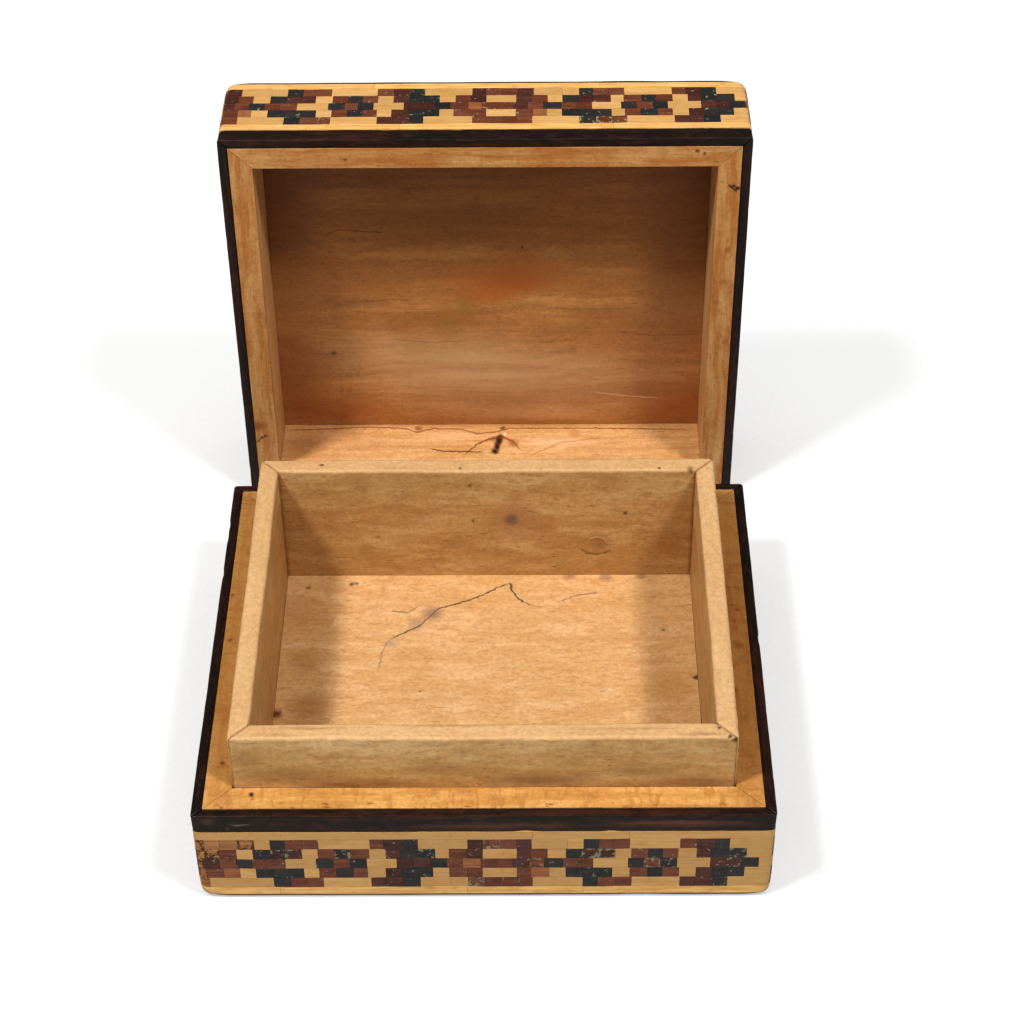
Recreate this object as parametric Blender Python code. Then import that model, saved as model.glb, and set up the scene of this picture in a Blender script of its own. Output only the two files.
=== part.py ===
"""A small lidded keepsake box, with its loose lid standing on edge behind the base.

Both halves are rectangular carcases of thin boards. Bands of wooden mosaic cover their sides, dark
stringing protects their meeting edges, and a mitred facing covers the rims. A liner of four mitred
boards stands up out of the base, and the lid drops over it. Lengths are in metres.

The origin is at the centre of the base's underside. +Z is up, +X runs along the wide sides, and -Y is
the front. The lid turns about an axis through the pair of brads at the back of the liner, and from
there it drops straight down onto the base.
"""

import math

import bmesh
import bpy
from mathutils import Matrix, Vector

# Driving sizes of the whole box
WIDTH = 0.1020
DEPTH = 0.0884
LID_STAND_GAP = 0.0227

# Skins and edgings, the same on the base and the lid
BAND_TALL = 0.0160
BAND_THICK = 0.0012
STRINGING_WIDE = 0.0019
RIM_THICK = 0.0009

# Base
FOOT_THICK = 0.0010
BASE_STRINGING_TALL = 0.0041
BOTTOM_BOARD_THICK = 0.0033

# Liner and the floor inside it
LINER_SETBACK = 0.0068
LINER_THICK = 0.0037
LINER_RISE = 0.0124
FLOOR_THICK = 0.0018
BRAD_RADIUS = 0.0005
BRAD_LENGTH = 0.0090
BRAD_SINK = 0.0004
BRAD_CLEARANCE = 0.0003
BRAD_SIDES = 16

# Lid
LID_STRINGING_TALL = 0.0036
LID_CLEARANCE = 0.0004
LID_HEADROOM = 0.0025
CROWN_THICK = 0.0012
CROWN_LINE_WIDE = 0.0012
CROWN_BORDER_WIDE = 0.0160

# Fits
GLUE_LINE = 0.0003
SEAT_GAP = 0.0003

# Heights and insets that follow from the sizes above
MITRE_CUT = GLUE_LINE / math.sqrt(2)
BASE_TALL = FOOT_THICK + GLUE_LINE + BAND_TALL + GLUE_LINE + BASE_STRINGING_TALL
LID_TALL = LID_STRINGING_TALL + GLUE_LINE + BAND_TALL + GLUE_LINE + CROWN_THICK
BOARD_INSET = BAND_THICK + GLUE_LINE
FACING_INSET = STRINGING_WIDE + GLUE_LINE
LID_WALL = LINER_SETBACK - LID_CLEARANCE
BOTTOM_BOARD_Z = FOOT_THICK + GLUE_LINE
LINER_FOOT_Z = BOTTOM_BOARD_Z + BOTTOM_BOARD_THICK + GLUE_LINE
LINER_TOP_Z = BASE_TALL + LINER_RISE
CAVITY_DEEP = LINER_RISE + LID_HEADROOM
CROWN_UNDERSIDE = LID_TALL - CROWN_THICK

# The tipping axis is as far above the table as it is in from the back, so the lid turns from its back
# side onto the base.
BRAD_INSET = LINER_SETBACK + LINER_THICK / 2
TIP_AXIS = Vector((0, DEPTH / 2 - BRAD_INSET, BRAD_INSET))
LIFT = LID_STAND_GAP + 2 * BRAD_INSET - BASE_TALL - SEAT_GAP
LIFTED_RIM_Z = BASE_TALL + SEAT_GAP + LIFT
LID_STANDING_TURN = math.radians(-90)

# Each side: the way along it, its outward direction, half its length and its distance from the centre
SIDES = {
    "front": (Vector((1, 0, 0)), Vector((0, -1, 0)), WIDTH / 2, DEPTH / 2),
    "back": (Vector((-1, 0, 0)), Vector((0, 1, 0)), WIDTH / 2, DEPTH / 2),
    "left": (Vector((0, -1, 0)), Vector((-1, 0, 0)), DEPTH / 2, WIDTH / 2),
    "right": (Vector((0, 1, 0)), Vector((1, 0, 0)), DEPTH / 2, WIDTH / 2),
}
UP = Vector((0, 0, 1))


def finish_material(name, colour, roughness, metallic=0.0):
    """A plain material of one colour (linear red, green, blue)."""
    material = bpy.data.materials.new(name)
    material.use_nodes = True
    shader = material.node_tree.nodes["Principled BSDF"]
    shader.inputs["Base Color"].default_value = (*colour, 1)
    shader.inputs["Roughness"].default_value = roughness
    shader.inputs["Metallic"].default_value = metallic
    material.diffuse_color = (*colour, 1)
    return material


def place(name, bm, material, parent=None):
    """Makes a named object of a bmesh. A piece with a parent has its origin on the parent's axis."""
    bmesh.ops.recalc_face_normals(bm, faces=bm.faces)
    if parent:
        bmesh.ops.translate(bm, verts=bm.verts, vec=-TIP_AXIS)
    mesh = bpy.data.meshes.new(name)
    bm.to_mesh(mesh)
    bm.free()
    mesh.materials.append(material.copy())
    mesh.materials[0].name = name + "_finish"
    piece = bpy.data.objects.new(name, mesh)
    bpy.context.scene.collection.objects.link(piece)
    piece.parent = parent
    return piece


def mitred_bar(name, side, profile, material, parent=None):
    """A bar along one side, mitred at both ends. The profile is (inset from the side, height) points."""
    along, outward, half_length, reach = SIDES[side]
    bm = bmesh.new()
    outline = []
    for inset, height in profile:
        end = half_length - inset - MITRE_CUT
        outline.append(bm.verts.new(outward * (reach - inset) + UP * height - along * end))
    section = bm.faces.new(outline)
    grown = bmesh.ops.extrude_face_region(bm, geom=[section])
    for vert in grown["geom"]:
        if isinstance(vert, bmesh.types.BMVert):
            vert.co -= 2 * along * vert.co.dot(along)
    return place(name, bm, material, parent)


def flat_board(name, inset, low, high, material, parent=None):
    """A rectangular board, inset by the same amount from all four sides, between two heights."""
    bm = bmesh.new()
    size = Vector((WIDTH - 2 * inset, DEPTH - 2 * inset, high - low))
    bmesh.ops.create_cube(bm, size=1)
    bmesh.ops.scale(bm, verts=bm.verts, vec=size)
    bmesh.ops.translate(bm, verts=bm.verts, vec=UP * (low + high) / 2)
    return place(name, bm, material, parent)


def rectangle(inset_out, inset_in, low, high):
    """The profile of a plain rectangular bar."""
    return [(inset_out, low), (inset_in, low), (inset_in, high), (inset_out, high)]


def brad_rod(bm, side_sign, depth_sign, radius, sink, length):
    """A rod along X through the liner's corner, from sink below its side face, running inwards."""
    start = WIDTH / 2 - LINER_SETBACK - sink
    centre_x = side_sign * (start - length / 2)
    centre = Vector((centre_x, depth_sign * TIP_AXIS.y, TIP_AXIS.z))
    lie_along_x = Matrix.Translation(centre) @ Matrix.Rotation(math.pi / 2, 4, "Y")
    bmesh.ops.create_cone(
        bm,
        cap_ends=True,
        segments=BRAD_SIDES,
        radius1=radius,
        radius2=radius,
        depth=length,
        matrix=lie_along_x,
    )


def clear_scene():
    for item in list(bpy.data.objects):
        bpy.data.objects.remove(item, do_unlink=True)


def make_tip_axis():
    """The empty on the tipping axis that carries the lid and holds it on edge behind the base."""
    axis = bpy.data.objects.new("tip_axis", None)
    bpy.context.scene.collection.objects.link(axis)
    axis.location = TIP_AXIS
    axis.rotation_euler = (LID_STANDING_TURN, 0, 0)
    return axis


def make_base_carcase(pine):
    """The bottom board and the four walls round it, rebated along the top for the stringing."""
    board_top = BOTTOM_BOARD_Z + BOTTOM_BOARD_THICK
    flat_board("base_bottom_board", LINER_SETBACK, BOTTOM_BOARD_Z, board_top, pine)
    inner = LINER_SETBACK - GLUE_LINE
    wall_top = BASE_TALL - RIM_THICK - GLUE_LINE
    rebate_z = BASE_TALL - BASE_STRINGING_TALL - GLUE_LINE
    profile = [
        (BOARD_INSET, BOTTOM_BOARD_Z),
        (inner, BOTTOM_BOARD_Z),
        (inner, wall_top),
        (FACING_INSET, wall_top),
        (FACING_INSET, rebate_z),
        (BOARD_INSET, rebate_z),
    ]
    for side in SIDES:
        mitred_bar("base_wall_" + side, side, profile, pine)


def make_base_skins(mosaic, ebony, boxwood):
    """The veneer under the base, the mosaic bands, the corner stringing and the rim facing."""
    flat_board("base_foot_veneer", 0, 0, FOOT_THICK, ebony)
    band_z = FOOT_THICK + GLUE_LINE
    band = rectangle(0, BAND_THICK, band_z, band_z + BAND_TALL)
    stringing = rectangle(0, STRINGING_WIDE, BASE_TALL - BASE_STRINGING_TALL, BASE_TALL)
    facing = rectangle(FACING_INSET, LINER_SETBACK - GLUE_LINE, BASE_TALL - RIM_THICK, BASE_TALL)
    for side in SIDES:
        mitred_bar("base_mosaic_" + side, side, band, mosaic)
        mitred_bar("base_stringing_" + side, side, stringing, ebony)
        mitred_bar("base_rim_" + side, side, facing, boxwood)


def make_liner(sycamore, ray_sycamore, iron):
    """Four mitred boards standing round a floor, with a brad through each end of the long ones."""
    holes = bmesh.new()
    for side_sign in (-1, 1):
        for depth_sign in (-1, 1):
            length = BRAD_LENGTH + BRAD_SINK + 2 * BRAD_CLEARANCE
            radius = BRAD_RADIUS + BRAD_CLEARANCE
            brad_rod(holes, side_sign, depth_sign, radius, -BRAD_CLEARANCE, length)
    cutter = place("brad_holes", holes, iron)
    cutter.hide_render = True
    cutter.display_type = "WIRE"
    board = rectangle(LINER_SETBACK, LINER_SETBACK + LINER_THICK, LINER_FOOT_Z, LINER_TOP_Z)
    for side in SIDES:
        piece = mitred_bar("liner_" + side, side, board, sycamore)
        drill = piece.modifiers.new("brad_holes", "BOOLEAN")
        drill.operation = "DIFFERENCE"
        drill.solver = "EXACT"
        drill.object = cutter
    floor_inset = LINER_SETBACK + LINER_THICK + GLUE_LINE
    flat_board("liner_floor", floor_inset, LINER_FOOT_Z, LINER_FOOT_Z + FLOOR_THICK, ray_sycamore)


def make_brads(iron, tip_axis):
    """The brads that pin the liner's corners. The back pair lies on the tipping axis."""
    for side_sign, side in ((-1, "left"), (1, "right")):
        for depth_sign, end in ((-1, "front"), (1, "back")):
            rod = bmesh.new()
            brad_rod(rod, side_sign, depth_sign, BRAD_RADIUS, BRAD_SINK, BRAD_LENGTH)
            brad = place("liner_brad_" + end + "_" + side, rod, iron)
            if end == "back":
                brad.data.transform(Matrix.Translation(-TIP_AXIS))
                brad.location = tip_axis.location


def make_lid_carcase(pine, walnut, tip_axis):
    """The lid's four walls and the board inside them that closes its top."""
    foot = LIFTED_RIM_Z + RIM_THICK + GLUE_LINE
    rebate_z = LIFTED_RIM_Z + LID_STRINGING_TALL + GLUE_LINE
    top = LIFTED_RIM_Z + CROWN_UNDERSIDE - GLUE_LINE
    profile = [
        (BOARD_INSET, rebate_z),
        (FACING_INSET, rebate_z),
        (FACING_INSET, foot),
        (LID_WALL, foot),
        (LID_WALL, top),
        (BOARD_INSET, top),
    ]
    for side in SIDES:
        mitred_bar("lid_wall_" + side, side, profile, pine, tip_axis)
    board_inset = LID_WALL + GLUE_LINE
    flat_board("lid_top_board", board_inset, LIFTED_RIM_Z + CAVITY_DEEP, top, walnut, tip_axis)


def make_lid_skins(mosaic, ebony, boxwood, tip_axis):
    """The lid's mosaic bands, stringing and rim facing, which match the base's."""
    rim = LIFTED_RIM_Z
    band_z = rim + LID_STRINGING_TALL + GLUE_LINE
    band = rectangle(0, BAND_THICK, band_z, band_z + BAND_TALL)
    stringing = rectangle(0, STRINGING_WIDE, rim, rim + LID_STRINGING_TALL)
    facing = rectangle(FACING_INSET, LID_WALL, rim, rim + RIM_THICK)
    for side in SIDES:
        mitred_bar("lid_mosaic_" + side, side, band, mosaic, tip_axis)
        mitred_bar("lid_stringing_" + side, side, stringing, ebony, tip_axis)
        mitred_bar("lid_rim_" + side, side, facing, boxwood, tip_axis)


def make_crown(mosaic, ebony, walnut, tip_axis):
    """The veneers on the lid's outer face: a dark line round a mosaic border round a plain field."""
    low = LIFTED_RIM_Z + CROWN_UNDERSIDE
    high = LIFTED_RIM_Z + LID_TALL
    border_inset = CROWN_LINE_WIDE + GLUE_LINE
    field_inset = border_inset + CROWN_BORDER_WIDE + GLUE_LINE
    line = rectangle(0, CROWN_LINE_WIDE, low, high)
    border = rectangle(border_inset, border_inset + CROWN_BORDER_WIDE, low, high)
    for side in SIDES:
        mitred_bar("crown_line_" + side, side, line, ebony, tip_axis)
        mitred_bar("crown_border_" + side, side, border, mosaic, tip_axis)
    flat_board("crown_field", field_inset, low, high, walnut, tip_axis)


def main():
    clear_scene()
    pine = finish_material("pine", (0.52, 0.27, 0.09), 0.6)
    mosaic = finish_material("stick_mosaic", (0.36, 0.19, 0.06), 0.35)
    ebony = finish_material("ebony", (0.022, 0.015, 0.012), 0.35)
    boxwood = finish_material("boxwood", (0.60, 0.31, 0.08), 0.45)
    sycamore = finish_material("sycamore", (0.56, 0.38, 0.19), 0.5)
    ray_sycamore = finish_material("quartered_sycamore", (0.60, 0.44, 0.26), 0.5)
    walnut = finish_material("walnut", (0.30, 0.13, 0.04), 0.5)
    iron = finish_material("iron", (0.20, 0.19, 0.18), 0.5, 1.0)
    tip_axis = make_tip_axis()
    make_base_carcase(pine)
    make_base_skins(mosaic, ebony, boxwood)
    make_liner(sycamore, ray_sycamore, iron)
    make_brads(iron, tip_axis)
    make_lid_carcase(pine, walnut, tip_axis)
    make_lid_skins(mosaic, ebony, boxwood, tip_axis)
    make_crown(mosaic, ebony, walnut, tip_axis)


main()
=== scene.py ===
import math
import random

import bmesh
import bpy
from mathutils import Matrix, Vector, noise


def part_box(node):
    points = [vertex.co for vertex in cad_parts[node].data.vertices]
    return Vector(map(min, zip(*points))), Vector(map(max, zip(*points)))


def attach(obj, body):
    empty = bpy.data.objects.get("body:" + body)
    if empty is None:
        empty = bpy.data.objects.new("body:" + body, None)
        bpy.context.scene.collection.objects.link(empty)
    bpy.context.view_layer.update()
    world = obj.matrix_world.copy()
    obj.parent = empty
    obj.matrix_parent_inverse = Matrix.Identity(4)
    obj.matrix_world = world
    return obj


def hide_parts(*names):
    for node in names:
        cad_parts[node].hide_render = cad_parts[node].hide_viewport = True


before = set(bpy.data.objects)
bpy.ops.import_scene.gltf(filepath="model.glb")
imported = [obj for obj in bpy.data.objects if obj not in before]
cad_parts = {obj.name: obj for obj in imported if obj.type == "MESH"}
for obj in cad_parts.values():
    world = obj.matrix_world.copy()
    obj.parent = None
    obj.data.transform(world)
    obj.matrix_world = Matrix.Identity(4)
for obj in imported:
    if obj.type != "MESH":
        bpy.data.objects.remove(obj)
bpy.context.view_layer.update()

# ---------------------------------------------------------------------------------------------
# Carcase of the base: four thin pine boards, mitred and glued round a pine bottom board. They are
# hidden once the box is veneered, and only carry the skins.
MM = 0.001
FOOT_LOW, FOOT_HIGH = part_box("base_foot_veneer")
WIDTH = FOOT_HIGH.x - FOOT_LOW.x
DEPTH = FOOT_HIGH.y - FOOT_LOW.y
HAIRLINE = 0.03 * MM
BASE_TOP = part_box("base_stringing_front")[1].z
LINER_LOW, LINER_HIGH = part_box("liner_front")
LINER_INSET = LINER_LOW.y + DEPTH / 2
LID_RIM_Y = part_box("lid_stringing_front")[0].y
LID_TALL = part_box("crown_field")[1].y - LID_RIM_Y
# The lid is drawn as it sits when shut, measured up from its rim, then stood on its back edge.
LID_STANDS = Matrix(((1, 0, 0, 0), (0, 0, 1, LID_RIM_Y), (0, -1, 0, DEPTH / 2), (0, 0, 0, 1)))
TURNS = {"front": 0, "right": 90, "back": 180, "left": 270}
# Vector noise starts from the clock unless it is seeded, so this keeps the wear the same each time.
noise.seed_set(7)


def linear(hex_colour):
    """An sRGB hex colour as linear red, green, blue and alpha."""
    parts = [int(hex_colour[i : i + 2], 16) / 255 for i in (1, 3, 5)]
    return (*[p / 12.92 if p <= 0.04045 else ((p + 0.055) / 1.055) ** 2.4 for p in parts], 1)


def node(tree, kind, inputs=None, stops=None, **settings):
    """Adds a node, makes its settings and its ramp stops, and sets or links each input."""
    made = tree.nodes.new("ShaderNode" + kind)
    for name, value in settings.items():
        setattr(made, name, value)
    for place, colour in stops or ():
        if place > 0:
            made.color_ramp.elements.new(place).color = linear(colour)
        else:
            made.color_ramp.elements[0].color = linear(colour)
    if stops:
        made.color_ramp.elements.remove(made.color_ramp.elements[-1])
    for socket, value in (inputs or {}).items():
        if isinstance(value, bpy.types.NodeSocket):
            tree.links.new(value, made.inputs[socket])
        else:
            made.inputs[socket].default_value = value
    return made


def new_material(name):
    """An empty material, its node tree and its main shader."""
    material = bpy.data.materials.new(name)
    material.use_nodes = True
    return material, material.node_tree, material.node_tree.nodes["Principled BSDF"]


def marks_on(axis, level, *rows):
    """Marks that all lie level mm along one axis. Each row gives the other two places, the half size
    along X and across it, or one for both, then the colour and the strength."""
    return [(*row[:axis], level, *row[axis:2], row[2], *row[-3:]) for row in rows]


def hairline(tree, place, axes, points, width):
    """How near a point is, 0 to 1, to a crooked line of points in mm along two of the axes."""
    along = node(tree, "SeparateXYZ", {0: place}).outputs
    starts = [min(p[i] for p in points) - 0.001 for i in (0, 1)]
    spans = [max(p[i] for p in points) + 0.001 - starts[i] for i in (0, 1)]
    share = node(tree, "MapRange", {"Value": along[axes[0]], "From Min": starts[0] * MM,
                                    "From Max": (starts[0] + spans[0]) * MM}).outputs[0]
    path = node(tree, "FloatCurve", {"Value": share})
    curve = path.mapping.curves[0]
    shares = sorted(((p[0] - starts[0]) / spans[0], (p[1] - starts[1]) / spans[1]) for p in points)
    curve.points[0].location, curve.points[1].location = shares[0], shares[-1]
    for x, y in shares[1:-1]:
        curve.points.new(x, y)
    for point in curve.points:
        point.handle_type = "VECTOR"
    path.mapping.update()
    level = node(tree, "Math", {0: path.outputs[0], 1: spans[1] * MM, 2: starts[1] * MM},
                 operation="MULTIPLY_ADD").outputs[0]
    apart = node(tree, "Math", {0: along[axes[1]], 1: level}, operation="SUBTRACT").outputs[0]
    apart = node(tree, "Math", {0: apart}, operation="ABSOLUTE").outputs[0]
    near = node(tree, "MapRange", {"Value": apart, "From Min": width * MM,
                                   "From Max": width * MM * 0.3}).outputs[0]
    ends = node(tree, "Math", {0: share, 1: share}, operation="MULTIPLY").outputs[0]
    ends = node(tree, "Math", {0: share, 1: ends}, operation="SUBTRACT").outputs[0]
    ends = node(tree, "MapRange", {"Value": ends, "From Max": 0.06}).outputs[0]
    return node(tree, "Math", {0: near, 1: ends}, operation="MULTIPLY").outputs[0]


def timber(name, colours, patch, pore, figure=None, rough=(0.45, 0.62), relief=0.05, marks=(),
           rubbed=None, stains=0.5, grain=(0.03, 0.9), gloss=0.3, checks=(), shade=None):
    """Planed wood seen along the board. colours run from the darkest grain line to the palest wood,
    patch is a broad tint and how strong it is, pore the colour and strength of the open pores, figure
    the colour and strength of the flecks and their size in mm along and across the grain. stains is
    how strong the small mottles are, and grain how close the growth lines lie, along and across.
    marks are stains, holes and painted light and shade: x, y, z, half size along X and across it in
    mm,
    colour, strength. rubbed is where the wood has worn pale, and shade is painted shade that darkens
    it:
    two heights, a colour, a strength.
    checks are hairline cracks: two axes, points in mm, half width in mm, colour, strength."""
    material, tree, shader = new_material(name)
    board = node(tree, "Attribute", attribute_name="board").outputs["Vector"]
    # Slow wander of the grain, about 0.6 mm over 12 mm of board.
    drift = node(tree, "TexNoise", {"Vector": board, "Scale": 80, "Detail": 2})
    drift = node(tree, "VectorMath", {0: drift.outputs["Color"], 1: (0.5, 0.5, 0.5)},
                 operation="SUBTRACT").outputs[0]
    drift = node(tree, "VectorMath", {0: drift, "Scale": 0.0022}, operation="SCALE").outputs[0]
    wandered = node(tree, "VectorMath", {0: board, 1: drift}, operation="ADD").outputs[0]
    # Growth lines: grain[1] per mm across the board and grain[0] per mm along it.
    lines = node(tree, "Mapping", {"Vector": wandered,
                                   "Scale": (grain[0] / MM, grain[1] / MM, grain[1] / MM)})
    lines = node(tree, "TexNoise", {"Vector": lines.outputs[0], "Scale": 1, "Detail": 5,
                                    "Roughness": 0.62}).outputs[0]
    places = (0, 0.42, 0.52, 0.64)
    tone = node(tree, "ValToRGB", {"Fac": lines}, stops=list(zip(places, colours))).outputs[0]
    # Broad patches, 10 to 30 mm, as the board has aged and been handled.
    broad = node(tree, "TexNoise", {"Vector": board, "Scale": 55, "Detail": 4, "Roughness": 0.6})
    broad = node(tree, "MapRange", {"Value": broad.outputs[0], "From Min": 0.42, "From Max": 0.66,
                                    "To Max": patch[1]}).outputs[0]
    tone = node(tree, "Mix", {0: broad, 6: tone, 7: linear(patch[0])},
                data_type="RGBA").outputs[2]
    # Small mottled stains, 2 to 6 mm.
    mottle = node(tree, "TexNoise", {"Vector": wandered, "Scale": 260, "Detail": 5,
                                     "Roughness": 0.65}).outputs[0]
    mottle = node(tree, "MapRange", {"Value": mottle, "From Min": 0.56, "From Max": 0.76,
                                     "To Max": stains}).outputs[0]
    tone = node(tree, "Mix", {0: mottle, 6: tone, 7: linear(colours[0])},
                data_type="RGBA").outputs[2]
    # Pores: short dark dashes along the grain, about 0.25 mm by 2 mm, drawn coarse to show.
    dashes = node(tree, "Mapping", {"Vector": wandered, "Scale": (420, 3000, 3000)})
    dashes = node(tree, "TexNoise", {"Vector": dashes.outputs[0], "Scale": 1, "Detail": 2})
    dashes = node(tree, "MapRange", {"Value": dashes.outputs[0], "From Min": 0.62,
                                     "From Max": 0.72, "To Max": pore[1]}).outputs[0]
    tone = node(tree, "Mix", {0: dashes, 6: tone, 7: linear(pore[0])},
                data_type="RGBA").outputs[2]
    if figure:
        ray = node(tree, "Mapping", {"Vector": wandered, "Location": (0.31, 0.17, 0.05),
                                     "Scale": (1 / figure[2] / MM, *[1 / figure[3] / MM] * 2)})
        ray = node(tree, "TexNoise", {"Vector": ray.outputs[0], "Scale": 1, "Detail": 3,
                                      "Distortion": 0.6}).outputs[0]
        ray = node(tree, "MapRange", {"Value": ray, "From Min": 0.52, "From Max": 0.66,
                                      "To Max": figure[1]}).outputs[0]
        tone = node(tree, "Mix", {0: ray, 6: tone, 7: linear(figure[0])},
                    data_type="RGBA").outputs[2]
    spot = node(tree, "TexCoord").outputs["Object"]
    # shade is painted shade: the wood darkens between its two heights, standing in for shade that
    # falls there.
    if shade:
        height = node(tree, "SeparateXYZ", {0: spot}).outputs[2]
        uneven = node(tree, "Math", {0: broad, 1: -0.008, 2: height},
                      operation="MULTIPLY_ADD").outputs[0]
        painted_shade = node(tree, "MapRange", {"Value": uneven, "From Min": shade[0],
                                       "From Max": shade[1], "To Min": shade[3],
                                       "To Max": 0}).outputs[0]
        tone = node(tree, "Mix", {0: painted_shade, 6: tone, 7: linear(shade[2])},
                    data_type="RGBA", blend_type="MULTIPLY").outputs[2]
    if rubbed:
        height = node(tree, "SeparateXYZ", {0: spot}).outputs[2]
        broken = node(tree, "Math", {0: mottle, 1: -0.0006, 2: height},
                      operation="MULTIPLY_ADD").outputs[0]
        pale = node(tree, "MapRange", {"Value": broken, "From Min": rubbed[0],
                                       "From Max": rubbed[1], "To Max": rubbed[3]}).outputs[0]
        tone = node(tree, "Mix", {0: pale, 6: tone, 7: linear(rubbed[2])},
                    data_type="RGBA").outputs[2]
    # Torn and dusty fibres, under 1 mm.
    fuzz = node(tree, "TexNoise", {"Vector": board, "Scale": 1300, "Detail": 3,
                                   "Roughness": 0.7}).outputs[0]
    fuzz = node(tree, "MapRange", {"Value": fuzz, "From Min": 0.3, "From Max": 0.7,
                                   "To Min": 0.86, "To Max": 1.12}).outputs[0]
    tone = node(tree, "VectorMath", {0: tone, "Scale": fuzz}, operation="SCALE").outputs[0]
    ragged = node(tree, "TexNoise", {"Vector": spot, "Scale": 900, "Detail": 3}).outputs["Color"]
    ragged = node(tree, "VectorMath", {0: ragged, "Scale": 0.0009}, operation="SCALE").outputs[0]
    ragged = node(tree, "VectorMath", {0: spot, 1: ragged}, operation="ADD").outputs[0]
    streaky = node(tree, "MapRange", {"Value": lines, "From Min": 0.4, "From Max": 0.6,
                                      "To Min": 0.4, "To Max": 1}).outputs[0]
    for x, y, z, along, across, colour, strength in marks:
        centre = Vector((x, y, z)) * MM + Vector((0.00045, 0.00045, 0.00045))
        far = node(tree, "VectorMath", {0: ragged, 1: centre}, operation="SUBTRACT").outputs[0]
        far = node(tree, "VectorMath", {0: far, 1: (1 / along / MM, *[1 / across / MM] * 2)},
                   operation="MULTIPLY").outputs[0]
        far = node(tree, "VectorMath", {0: far}, operation="LENGTH")
        inside = node(tree, "MapRange", {"Value": far.outputs["Value"], "From Min": 1,
                                         "From Max": 0.3, "To Max": strength}).outputs[0]
        if along > 3:
            inside = node(tree, "Math", {0: inside, 1: streaky}, operation="MULTIPLY").outputs[0]
        tone = node(tree, "Mix", {0: inside, 6: tone, 7: linear(colour)},
                    data_type="RGBA").outputs[2]
    for axes, points, width, colour, strength in checks:
        crack = hairline(tree, ragged, axes, points, width)
        crack = node(tree, "Math", {0: crack, 1: strength}, operation="MULTIPLY").outputs[0]
        tone = node(tree, "Mix", {0: crack, 6: tone, 7: linear(colour)},
                    data_type="RGBA").outputs[2]
    tree.links.new(tone, shader.inputs["Base Color"])
    # Waxed and handled: patches of the surface are smoother than the open grain.
    sheen = node(tree, "MapRange", {"Value": mottle, "From Max": max(stains, 0.01),
                                    "To Min": rough[0], "To Max": rough[1]}).outputs[0]
    sheen = node(tree, "Math", {0: dashes, 1: 0.2, 2: sheen}, operation="MULTIPLY_ADD")
    tree.links.new(sheen.outputs[0], shader.inputs["Roughness"])
    height = node(tree, "Math", {0: dashes, 1: -0.8, 2: lines}, operation="MULTIPLY_ADD")
    bump = node(tree, "Bump", {"Height": height.outputs[0], "Distance": relief * MM,
                               "Strength": 0.6})
    tree.links.new(bump.outputs[0], shader.inputs["Normal"])
    shader.inputs["IOR"].default_value = 1.5
    shader.inputs["Specular IOR Level"].default_value = gloss
    return material


def number_board(bm, at):
    """Stores each point's place on its own board, so that the grain follows the board."""
    layer = bm.verts.layers.float_vector.new("board")
    for vert in bm.verts:
        vert[layer] = vert.co + at


def half_sizes(side):
    """Half the length of a side, and its distance from the centre."""
    across = side in ("front", "back")
    return (WIDTH / 2, DEPTH / 2) if across else (DEPTH / 2, WIDTH / 2)


def geometry(bm):
    return bm.verts[:] + bm.edges[:] + bm.faces[:]


def cut_mitres(bm, side, gap=HAIRLINE):
    """Cuts both ends of a bar at 45 degrees and closes the cuts."""
    half_length, reach = half_sizes(side)
    for sign in (-1, 1):
        bmesh.ops.bisect_plane(bm, geom=geometry(bm), clear_outer=True, dist=1e-7,
                               plane_co=(sign * (half_length - gap), -reach, 0),
                               plane_no=(sign, 1, 0))
        open_edges = [edge for edge in bm.edges if edge.is_boundary]
        bmesh.ops.holes_fill(bm, edges=open_edges, sides=0)


def subdivide_along(bm, step):
    """Cuts a bar that lies along X into lengths of about step."""
    long_edges = [e for e in bm.edges
                  if abs(e.verts[0].co.x - e.verts[1].co.x) > 0.98 * e.calc_length()
                  and e.calc_length() > 3 * step]
    if long_edges:
        cuts = int(max(e.calc_length() for e in long_edges) / step)
        bmesh.ops.subdivide_edges(bm, edges=long_edges, cuts=cuts, use_grid_fill=True)


def board_bar(side, near, far, low, high, arris, at, step=2.0 * MM, gap=HAIRLINE, segments=2):
    """A mitred bar along one side; near and far are its insets from the outside."""
    half_length, reach = half_sizes(side)
    bm = bmesh.new()
    bmesh.ops.create_cube(bm, size=1)
    bmesh.ops.scale(bm, verts=bm.verts, vec=(2 * half_length, far - near, high - low))
    bmesh.ops.translate(bm, verts=bm.verts, vec=(0, -reach + (near + far) / 2, (low + high) / 2))
    cut_mitres(bm, side, gap)
    bmesh.ops.bevel(bm, geom=bm.edges[:], offset=arris, segments=segments, profile=0.5,
                    affect="EDGES", material=-1, clamp_overlap=True)
    subdivide_along(bm, step)
    number_board(bm, at)
    return bm


def soften(point, half_x, half_y, top, radius):
    """Pulls a point that lies outside a rounded box onto it. top is the way in from the soft face."""
    over = Vector((max(0, radius - half_x + abs(point.x)), max(0, radius - half_y + abs(point.y)),
                   max(0, radius - top)))
    if over.length <= radius:
        return point, 0.0
    back = over * (1 - radius / over.length)
    moved = Vector((point.x - math.copysign(back.x, point.x),
                    point.y - math.copysign(back.y, point.y), point.z))
    return moved, back.z


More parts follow.
